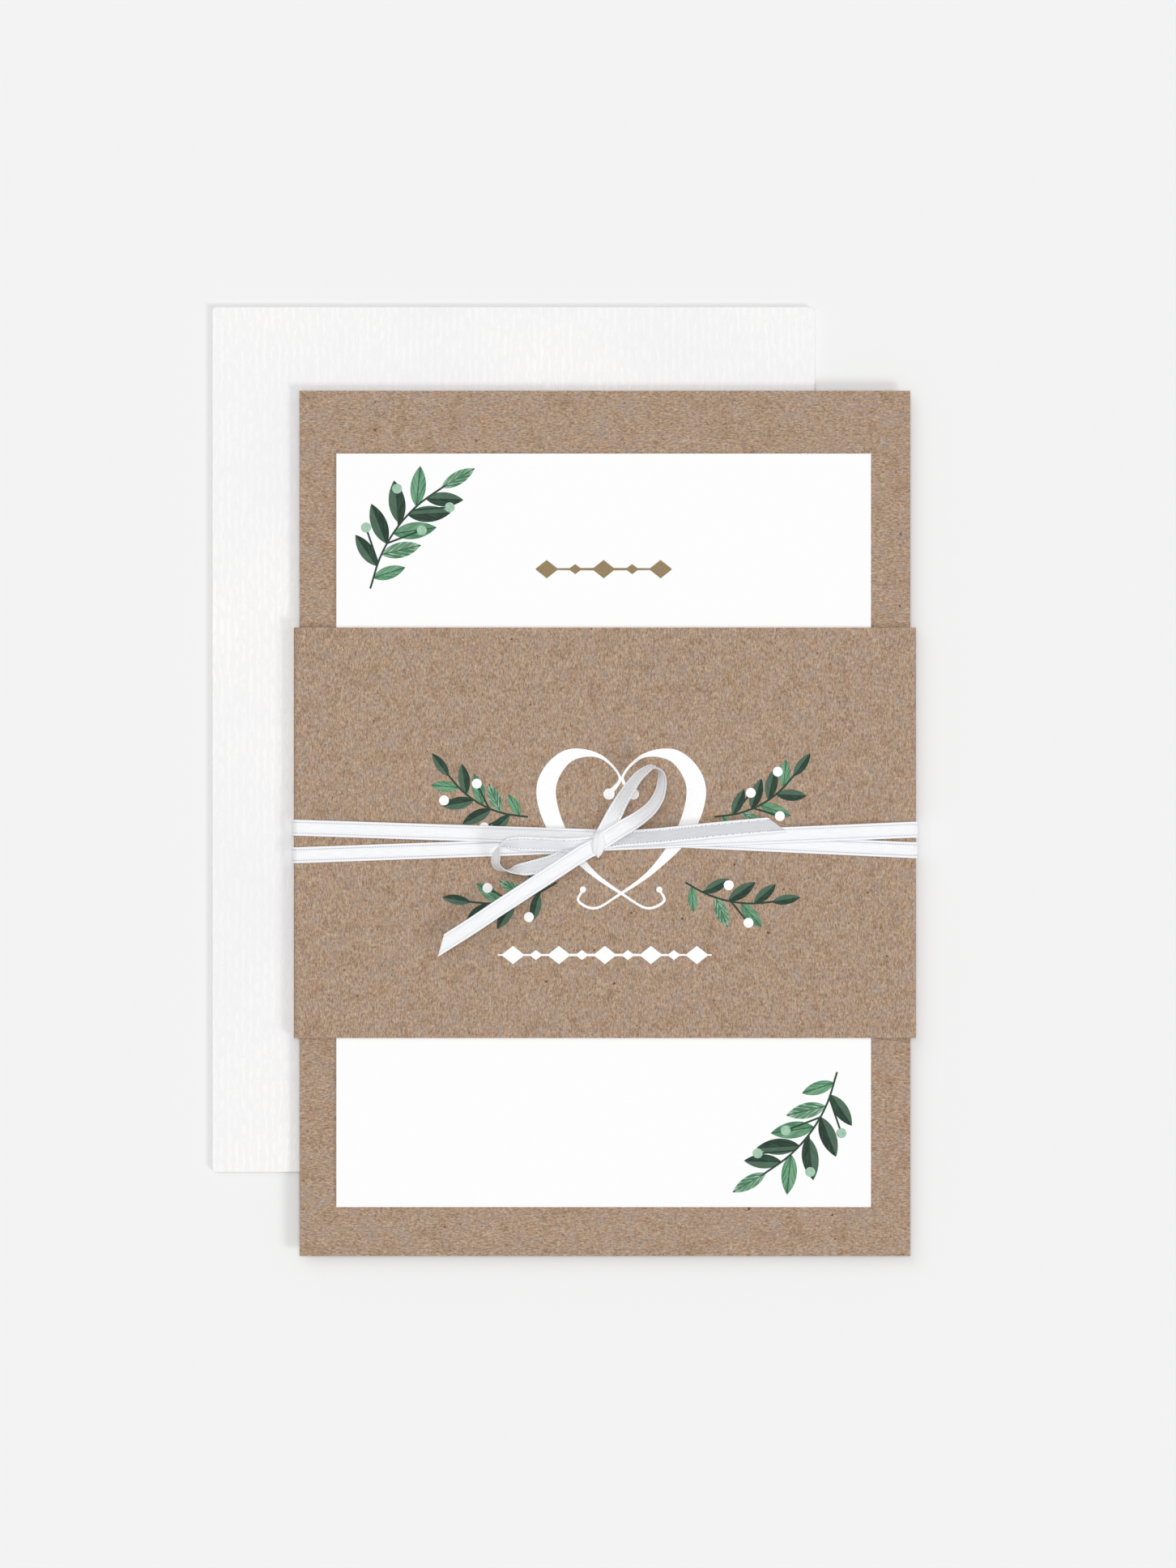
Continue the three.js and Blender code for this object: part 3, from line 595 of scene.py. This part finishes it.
def knotMesh(points, faces, uvs):
    # The pinched wrap: gathered ribbon, creased along its way round the pile
    around, over = 48, 28
    first = len(points)
    centre = knotFoot + Vector((0, 0, ribbon["knotHeight"] / 2))
    lean = math.radians(-6)
    for j in range(over + 1):
        s = -1 + 2 * j / over
        shrink = math.sqrt(max(0.0, 1 - abs(s) ** 3.2))
        for i in range(around):
            angle = 2 * math.pi * i / around
            cos, sin = math.cos(angle), math.sin(angle)
            wide = 0.05 * math.sin(s * 7.5 + 1.2 * sin)
            fine = 0.025 * math.sin(s * 19 - 2 * cos)
            crease = 1 + (wide + fine) * shrink
            y = math.copysign(abs(cos) ** 0.9, cos) * ribbon["knotLength"] / 2
            z = math.copysign(abs(sin) ** 0.8, sin) * ribbon["knotHeight"] / 2
            pinch = 0.55 + 0.45 * shrink
            x = s * ribbon["knotWidth"] / 2 * (1 - 0.18 * abs(cos) ** 2)
            y *= pinch * crease * max(shrink, 0.02)
            z *= pinch * crease * max(shrink, 0.02)
            turnedX = x * math.cos(lean) - y * math.sin(lean)
            turnedY = x * math.sin(lean) + y * math.cos(lean)
            points.append(centre + Vector((turnedX, turnedY, z)))
            uvs.append((i / around * 12, 0.3 + 0.2 * (s + 1)))
            looks.append((0.0, 0.3))
    for j in range(over):
        for i in range(around):
            a = first + j * around + i
            b = first + j * around + (i + 1) % around
            faces.append((a, b, b + around, a + around))
    last = first + over * around
    faces.append(tuple(first + i for i in reversed(range(around))))
    faces.append(tuple(last + i for i in range(around)))


knotMesh(points, faces, uvs)
ribbonPiece = smooth(plainMesh("satin_ribbon", points, faces, uvs, satin))
for column, label in enumerate(("reverse", "stitchedShade")):
    layer = ribbonPiece.data.attributes.new(label, "FLOAT", "POINT")
    for i, look in enumerate(looks):
        layer.data[i].value = look[column]
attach(ribbonPiece, "root")
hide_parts("ribbon")


# Shapes that repeat, set on points by Geometry Nodes

def placingTree(name, shape, material):
    tree = bpy.data.node_groups.new(name, "GeometryNodeTree")
    tree.interface.new_socket("Points", in_out="INPUT", socket_type="NodeSocketGeometry")
    sizing = tree.interface.new_socket("Overall size", in_out="INPUT", socket_type="NodeSocketFloat")
    sizing.default_value = 1.0
    tree.interface.new_socket("Result", in_out="OUTPUT", socket_type="NodeSocketGeometry")
    new = tree.nodes.new
    link = tree.links.new
    start, end = new("NodeGroupInput"), new("NodeGroupOutput")
    info = new("GeometryNodeObjectInfo")
    info.inputs["Object"].default_value = shape
    info.inputs["As Instance"].default_value = True
    turn, size = new("GeometryNodeInputNamedAttribute"), new("GeometryNodeInputNamedAttribute")
    turn.data_type = size.data_type = "FLOAT_VECTOR"
    turn.inputs["Name"].default_value = "turn"
    size.inputs["Name"].default_value = "size"
    scale = new("ShaderNodeVectorMath")
    scale.operation = "SCALE"
    link(size.outputs["Attribute"], scale.inputs[0])
    link(start.outputs["Overall size"], scale.inputs["Scale"])
    put = new("GeometryNodeInstanceOnPoints")
    link(start.outputs["Points"], put.inputs["Points"])
    link(info.outputs["Geometry"], put.inputs["Instance"])
    link(turn.outputs["Attribute"], put.inputs["Rotation"])
    link(scale.outputs["Vector"], put.inputs["Scale"])
    real = new("GeometryNodeRealizeInstances")
    link(put.outputs["Instances"], real.inputs[0])
    dress = new("GeometryNodeSetMaterial")
    dress.inputs["Material"].default_value = material
    link(real.outputs[0], dress.inputs["Geometry"])
    link(dress.outputs["Geometry"], end.inputs[0])
    return tree, sizing.identifier


def placed(name, shape, spots, material, overall=1.0):
    # spots: (place, turn, size, tone), each one copy of the shape
    mesh = bpy.data.meshes.new(name + " spots")
    mesh.from_pydata([tuple(spot[0]) for spot in spots], [], [])
    for label, at in (("turn", 1), ("size", 2)):
        layer = mesh.attributes.new(label, "FLOAT_VECTOR", "POINT")
        for i, spot in enumerate(spots):
            layer.data[i].vector = spot[at]
    layer = mesh.attributes.new("tone", "FLOAT", "POINT")
    for i, spot in enumerate(spots):
        layer.data[i].value = spot[3]
    holder = bpy.data.objects.new(name + " holder", mesh)
    bpy.context.scene.collection.objects.link(holder)
    tree, sizeSocket = placingTree(name + " placing", shape, material)
    modifier = holder.modifiers.new("placing", "NODES")
    modifier.node_group = tree
    modifier[sizeSocket] = overall
    bpy.context.view_layer.update()
    evaluated = holder.evaluated_get(bpy.context.evaluated_depsgraph_get())
    result = bpy.data.meshes.new_from_object(evaluated)
    bpy.data.objects.remove(holder)
    for label in ("turn", "size"):
        if label in result.attributes:
            result.attributes.remove(result.attributes[label])
    result.name = name
    piece = bpy.data.objects.new(name, result)
    bpy.context.scene.collection.objects.link(piece)
    return piece


def discShape(name, sides, height, dome=0.0):
    # A unit disc of ink, from its foot at 0 up to height
    turns = [2 * math.pi * k / sides for k in range(sides)]
    points = [(math.cos(turn), math.sin(turn), 0) for turn in turns]
    points += [(x * 0.96, y * 0.96, height) for x, y, _ in points[:sides]]
    points += [(0, 0, height * (1 + dome)), (0, 0, 0)]
    top, foot = 2 * sides, 2 * sides + 1
    faces = []
    for k in range(sides):
        n = (k + 1) % sides
        faces.append((k, n, sides + n, sides + k))
        faces.append((sides + k, sides + n, top))
        faces.append((n, k, foot))
    piece = plainMesh(name, points, faces)
    piece.hide_render = True
    return piece


def bezier(a, b, c, d, t):
    u = 1 - t
    return a * u ** 3 + 3 * b * u * u * t + 3 * c * u * t * t + d * t ** 3


def leafShape(height):
    # A unit leaf along X, a strip each side of its rib, with a UV map
    steps, half = 14, 3
    points, uvs, faces = [], [], []
    for level in (1, 0):
        for i in range(steps + 1):
            t = i / steps
            x = bezier(0, 0.25, 0.7, 1, t)
            w = bezier(0, 0.62, 0.6, 0, t)
            for k in range(-half, half + 1):
                points.append((x, w * k / half, height * level))
                uvs.append((x, 0.5 + w * k / half / 0.9))
    row = 2 * half + 1
    lower = row * (steps + 1)
    for i in range(steps):
        for k in range(2 * half):
            a = i * row + k
            faces.append((a, a + row, a + row + 1, a + 1))
            faces.append((lower + a, lower + a + 1, lower + a + row + 1, lower + a + row))
        for a, b in ((i * row, i * row + row), (i * row + row + 2 * half, i * row + 2 * half)):
            faces.append((a, lower + a, lower + b, b))
    piece = plainMesh("leaf shape", points, faces, uvs)
    piece.hide_render = True
    return piece


def beadShape(name, around=10, over=6):
    # A unit ball
    points, faces = [(0, 0, -1)], []
    for j in range(1, over):
        low = -math.pi / 2 + math.pi * j / over
        for i in range(around):
            turn = 2 * math.pi * i / around
            points.append((math.cos(low) * math.cos(turn), math.cos(low) * math.sin(turn), math.sin(low)))
    points.append((0, 0, 1))
    last = len(points) - 1
    for i in range(around):
        n = (i + 1) % around
        faces.append((0, 1 + n, 1 + i))
        faces.append((last, last - around + i, last - around + n))
        for j in range(over - 2):
            a = 1 + j * around
            faces.append((a + i, a + n, a + around + n, a + around + i))
    piece = smooth(plainMesh(name, points, faces))
    piece.hide_render = True
    return piece


# Picots: small loops of thread that stand out of both seams on the ribbon's dull side

picot = {
    "step": 0.65,
    "firstAt": 0.3,
    "length": 0.42 * mm,
    "width": 0.44 * mm,
    "height": 0.18 * mm,
    "seam": 0.74,
    "endRoom": 4 * mm,
}
beadUnit = beadShape("picot shape")
picotSize = (picot["length"] / 2, picot["width"] / 2, picot["height"] / 2)
spots = []
# The two turns come first in the list, and their dull side lies on the band
for run in runs[2:]:
    stations, dullSide = run["stations"], run["dullSide"]
    travelled, due = 0.0, picot["firstAt"]
    for here, after in zip(stations, stations[1:]):
        if (stations[-1][0] - here[0]).length < picot["endRoom"] * abs(stations[-1][1].length - 1):
            break
        travelled += (after[0] - here[0]).length / mm
        if travelled < due:
            continue
        due += picot["step"]
        ahead = (after[0] - here[0]).normalized()
        normal = here[2] * dullSide
        side = here[2].cross(ahead).normalized()
        basis = Matrix((ahead, normal.cross(ahead), normal)).transposed()
        turn = basis.to_euler()
        for s in (-1, 1):
            place = here[0] + side * (s * picot["seam"] * ribbon["width"] / 2)
            place = place + normal * (ribbon["thickness"] * 0.4)
            spots.append((place, turn, picotSize, 0.5))
picotPiece = placed("ribbon_picots", beadUnit, spots, picotFinish())
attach(picotPiece, "root")
print("picots:", len(spots))

# Print: the same layout as the solid sprigs, heart and rules

ink = {
    "height": 0.03 * mm,
    "layer": 0.002 * mm,
    "thick": 3.8,
    "hairline": 0.5,
    "strokeBall": 2.2,
    "swashBall": 1.2,
    "stem": 0.36,
    "leafLength": 5.6,
    "leafWidth": 2.3,
    "berry": 2.0,
    "berryStalk": 5.4,
    "berryRise": 1.9,
    "diamond": 3.6,
    # Greens of the leaves in turn, from dark at 0 to pale at 1
    "tones": (0.15, 0.7, 0.3, 0.95, 0.2, 0.6, 0.1),
}
heart = {"right": 3.2, "above": 2.0, "halfWidth": 15.0, "height": 28.0}
# dx and dy are shares of the heart's half width and height
bandSprigs = (
    {"node": "band_sprig_left", "dx": -1.22, "dy": 0.04,
     "angle": 152, "bow": 0.12, "leaves": 8, "berries": 3},
    {"node": "band_sprig_right", "dx": 1.22, "dy": 0.04,
     "angle": 28, "bow": -0.12, "leaves": 8, "berries": 3},
    {"node": "band_sprig_lower_left", "dx": -0.84, "dy": -0.42,
     "angle": 192, "bow": 0.1, "leaves": 6, "berries": 2},
    {"node": "band_sprig_lower_right", "dx": 0.84, "dy": -0.42,
     "angle": -12, "bow": -0.1, "leaves": 6, "berries": 2},
)
bandSprigLength = 18
cornerSprig = {"length": 25, "bow": 0.11, "leaves": 9, "berries": 4, "growth": 1.35}
cornerIn = (14 * mm, 16.4 * mm)
rules = {
    "bandWidth": 42,
    "bandDiamonds": 9,
    "bandBelow": 24 * mm,
    "insertWidth": 26,
    "insertDiamonds": 5,
    "insertBelow": 22.7 * mm,
    "diamondSpan": 0.86,
    "smallDiamond": 0.55,
}
leafUnit = leafShape(1.0)
berryUnit = discShape("berry shape", 24, 1.0, 0.5)
leafPrint = leafFinish()
whiteInk = inkFinish("white ink", shade(254, 254, 254), shade(248, 248, 248))
stemInk = inkFinish("dark green ink", shade(28, 58, 42), shade(40, 74, 54))
paleInk = inkFinish("pale green ink", shade(170, 204, 180), shade(132, 176, 146))
goldInk = inkFinish("khaki ink", shade(150, 130, 95), shade(140, 120, 86))


def strokeMesh(points, faces, line, base, layer=0, finest=0.25):
    # An inked stroke through (x, y, width) points, in millimetres, as a thin closed strip. Each layer
    # is a hair higher, so that no two faces share a place.
    places = [Vector(p) for p in line]
    rough = sum((places[i + 1].xy - places[i].xy).length for i in range(len(places) - 1))
    steps = max(2, int(rough / finest)) if len(places) > 2 else 1
    first = len(points)
    top = base + ink["height"] + layer * ink["layer"]
    for i in range(steps + 1):
        here, slope = curveAt(places, i / steps)
        ahead = Vector((slope.x, slope.y)).normalized()
        half = max(here.z, ink["hairline"] * 0.4) / 2
        for side in (1, -1):
            x = here.x + side * ahead.y * half
            y = here.y - side * ahead.x * half
            points.append((x * mm, y * mm, base))
            points.append((x * mm, y * mm, top))
    for i in range(steps):
        a = first + 4 * i
        b = a + 4
        faces.append((a + 1, b + 1, b + 3, a + 3))
        faces.append((a, a + 2, b + 2, b))
        faces.append((a, b, b + 1, a + 1))
        faces.append((a + 2, a + 3, b + 3, b + 2))
    end = first + 4 * steps
    faces.append((first, first + 1, first + 3, first + 2))
    faces.append((end, end + 2, end + 3, end + 1))


def dotMesh(points, faces, x, y, diameter, base, layer, sides=28):
    # A round dot of ink, its middle and diameter in millimetres
    first = len(points)
    top = base + ink["height"] + layer * ink["layer"]
    for k in range(sides):
        turn = 2 * math.pi * k / sides
        place = ((x + math.cos(turn) * diameter / 2) * mm, (y + math.sin(turn) * diameter / 2) * mm)
        points.extend(((*place, base), (*place, top)))
    for k in range(sides):
        a = first + 2 * k
        b = first + 2 * ((k + 1) % sides)
        faces.append((a, b, b + 1, a + 1))
    faces.append(tuple(first + 2 * k + 1 for k in range(sides)))
    faces.append(tuple(first + 2 * k for k in reversed(range(sides))))


def sprigPieces(node, foot, base, angle, length, bow, leaves, berries, berryInk, growth=1.0):
    # foot is in metres; the sprig runs from it along its angle, bowed to the left
    angle = math.radians(angle)
    along = Vector((math.cos(angle), math.sin(angle)))
    across = Vector((-math.sin(angle), math.cos(angle)))
    footMm = Vector((foot[0] / mm, foot[1] / mm))

    def pointAt(share):
        return footMm + along * (share * length) + across * (4 * bow * length * share * (1 - share))

    def headingAt(share):
        return angle + math.atan(4 * bow * (1 - 2 * share))

    points, faces = [], []
    stemPoints = [(*pointAt(share), ink["stem"]) for share in (0, 0.25, 0.5, 0.75, 1)]
    strokeMesh(points, faces, stemPoints, base, layer=leaves + 6)
    leafSpots, berrySpots = [], []

    def addLeaf(share, turn, size, slim, number):
        at = pointAt(share)
        place = (at.x * mm, at.y * mm, base)
        scale = (ink["leafLength"] * size * mm, ink["leafWidth"] * size * slim * mm,
                 ink["height"] + number * ink["layer"])
        leafSpots.append((place, (0, 0, turn), scale, ink["tones"][number % len(ink["tones"])]))

    for i in range(leaves):
        share = 0.08 + 0.84 * i / leaves
        side = 1 if i % 2 else -1
        size = growth * (0.8 + 0.35 * math.sin(math.pi * share))
        addLeaf(share, headingAt(share) + side * math.radians(58 - 22 * share), size, 1.0, i + 1)
    addLeaf(0.97, headingAt(1), growth, 0.9, leaves + 1)
    for i in range(berries):
        share = 0.2 + 0.66 * i / berries
        side = -1 if i % 2 else 1
        at = pointAt(share)
        turn = headingAt(share) + side * math.radians(40)
        tip = at + Vector((math.cos(turn), math.sin(turn))) * (ink["berryStalk"] * growth)
        strokeMesh(points, faces, [(*at, ink["stem"]), (*tip, ink["stem"])], base, layer=leaves + 2 + i)
        half = ink["berry"] / 2 * mm
        place = (tip.x * mm, tip.y * mm, base)
        berrySpots.append((place, (0, 0, 0), (half, half, ink["height"] * ink["berryRise"]), 0.5))
    stem = plainMesh(node + "_stem", points, faces, material=stemInk)
    leafPiece = placed(node + "_leaves", leafUnit, leafSpots, leafPrint)
    berryPiece = placed(node + "_berries", berryUnit, berrySpots, berryInk)
    berrySlot = "white_ink" if berryInk is whiteInk else "green_ink"
    for piece, slot in ((stem, "green_ink"), (leafPiece, "green_ink"), (berryPiece, berrySlot)):
        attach(piece, "root")
    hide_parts(node)


heartX = bandX + heart["right"] * mm
heartY = bandY + heart["above"] * mm
for spec in bandSprigs:
    spec = dict(spec)
    footX = heartX + spec.pop("dx") * heart["halfWidth"] * mm
    footY = heartY + spec.pop("dy") * heart["height"] * mm
    foot = (footX, footY)
    sprigPieces(foot=foot, base=bandTop, length=bandSprigLength, berryInk=whiteInk, **spec)

insertLow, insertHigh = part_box("insert_card")
insertTop = insertHigh[2]
for node, side, angle in (("insert_sprig_top", -1, 54), ("insert_sprig_bottom", 1, 234)):
    cornerX = (insertHigh[0] if side > 0 else insertLow[0]) - side * cornerIn[0]
    cornerY = (insertLow[1] if side > 0 else insertHigh[1]) + side * cornerIn[1]
    half = cornerSprig["length"] / 2 * mm
    turn = math.radians(angle)
    foot = (cornerX - half * math.cos(turn), cornerY - half * math.sin(turn))
    sprigPieces(node, foot, insertTop, angle, berryInk=paleInk, **cornerSprig)
print("sprigs printed")


def strokesPiece(name, lines, base, offset, material, node, balls=()):
    points, faces = [], []
    for layer, line in enumerate(lines):
        moved = [(x + offset[0] / mm, y + offset[1] / mm, w) for x, y, w in line]
        strokeMesh(points, faces, moved, base, layer=2 * layer)
    for number, (x, y, diameter) in enumerate(balls):
        layer = 2 * len(lines) + number
        dotMesh(points, faces, x + offset[0] / mm, y + offset[1] / mm, diameter, base, layer)
    piece = plainMesh(name, points, faces, material=material)
    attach(piece, "root")
    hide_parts(node)


w, h, hair, thick = heart["halfWidth"], heart["height"], ink["hairline"], ink["thick"]
halfHeart = [
    (-0.16 * w, 0.2 * h, hair * 2.2), (-0.02 * w, 0.32 * h, hair), (-0.3 * w, 0.47 * h, hair * 1.6),
    (-0.72 * w, 0.46 * h, thick * 0.7), (-0.98 * w, 0.25 * h, thick), (-0.84 * w, -0.05 * h, thick * 0.85),
    (-0.42 * w, -0.33 * h, hair * 2.4), (0.04 * w, -0.51 * h, hair), (0.34 * w, -0.6 * h, hair),
    (0.56 * w, -0.55 * h, hair), (0.5 * w, -0.47 * h, hair * 0.8),
]
mirrored = [(-x, y, width) for x, y, width in halfHeart]
heartBalls = []
for line in (halfHeart, mirrored):
    heartBalls.append((line[0][0], line[0][1], ink["strokeBall"]))
    heartBalls.append((line[-1][0], line[-1][1], ink["swashBall"]))
strokesPiece("heart_strokes", [halfHeart, mirrored], bandTop, (heartX, heartY), whiteInk,
             "band_heart_print", heartBalls)


def ruleLines(width, diamonds):
    # A rule and the diamonds on it, large and small in turn, the large ones first from the middle
    lines = [[(-width / 2, 0, hair * 0.6), (0, 0, hair), (width / 2, 0, hair * 0.6)]]
    last = diamonds - 1
    for i in range(diamonds):
        at = (i / last - 0.5) * width * rules["diamondSpan"]
        size = ink["diamond"] * (1 if i % 2 == (last // 2) % 2 else rules["smallDiamond"])
        lines.append([(at - size * 0.6, 0, 0.02), (at, 0, size)])
        lines.append([(at, 0, size), (at + size * 0.6, 0, 0.02)])
    return lines


bandLines = ruleLines(rules["bandWidth"], rules["bandDiamonds"])
strokesPiece("band_rule", bandLines, bandTop, (bandX, bandY - rules["bandBelow"]), whiteInk,
             "band_rule_print")
insertLines = ruleLines(rules["insertWidth"], rules["insertDiamonds"])
insertMiddle = ((insertLow[0] + insertHigh[0]) / 2, insertHigh[1] - rules["insertBelow"])
strokesPiece("insert_rule", insertLines, insertTop, insertMiddle, goldInk,
             "insert_rule_print")
print("heart and rules printed")


# Finishes of the cards and papers that stay as they are

def dress(node, material):
    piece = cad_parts[node]
    piece.data.materials.clear()
    piece.data.materials.append(material)


dress("envelope", ribbedFinish())
dress("invitation_card", kraftFinish("kraft card", False))
dress("insert_card", smoothWhiteFinish())
dress("belly_band", kraftFinish("kraft band", True))

# Floor, light and camera

studio = {
    "floor": shade(242, 242, 242),
    "frameHeight": 308.5 * mm,
    "aimX": 4.58 * mm,
    "aimY": -0.56 * mm,
    "distance": 1.6,
    "sensor": 36.0,
    "sky": 0.37,
    # Name, direction towards the light, share of a level white face that it lights, softness in
    # degrees
    "lights": (
        ("top light", (0.0, 0.05, 1.0), 0.36, 30),
        ("key", (-0.6, 0.7, 0.8), 0.11, 45),
        ("low light", (0.9, -0.6, 0.62), 0.17, 18),
    ),
}
floorMesh = plainMesh("floor", [(-4, -4, 0), (4, -4, 0), (4, 4, 0), (-4, 4, 0)], [(0, 1, 2, 3)])
floorLook = Finish("pale floor")
floorPaint = floorLook.finish(Base_Color=studio["floor"], Roughness=0.9, Specular_IOR_Level=0.1)
floorMesh.data.materials.append(floorPaint)

world = bpy.data.worlds.new("studio")
world.use_nodes = True
bpy.context.scene.world = world
sky = world.node_tree.nodes["Background"]
sky.inputs["Color"].default_value = (1, 1, 1, 1)
sky.inputs["Strength"].default_value = studio["sky"]


def softSun(name, towards, share, softness):
    data = bpy.data.lights.new(name, "SUN")
    direction = Vector(towards).normalized()
    data.energy = share * math.pi / direction.z
    data.angle = math.radians(softness)
    lamp = bpy.data.objects.new(name, data)
    lamp.rotation_euler = direction.to_track_quat("Z", "Y").to_euler()
    bpy.context.scene.collection.objects.link(lamp)


for light in studio["lights"]:
    softSun(*light)

cameraData = bpy.data.cameras.new("camera")
cameraData.sensor_fit = "VERTICAL"
cameraData.sensor_height = studio["sensor"]
cameraData.lens = studio["sensor"] * studio["distance"] / studio["frameHeight"]
cameraData.clip_end = 20
camera = bpy.data.objects.new("camera", cameraData)
camera.location = (studio["aimX"], studio["aimY"], studio["distance"])
bpy.context.scene.collection.objects.link(camera)
bpy.context.scene.camera = camera
bpy.context.scene.view_settings.view_transform = "Standard"

for shape in (leafUnit, berryUnit, beadUnit):
    bpy.data.objects.remove(shape)
print("scene ready")
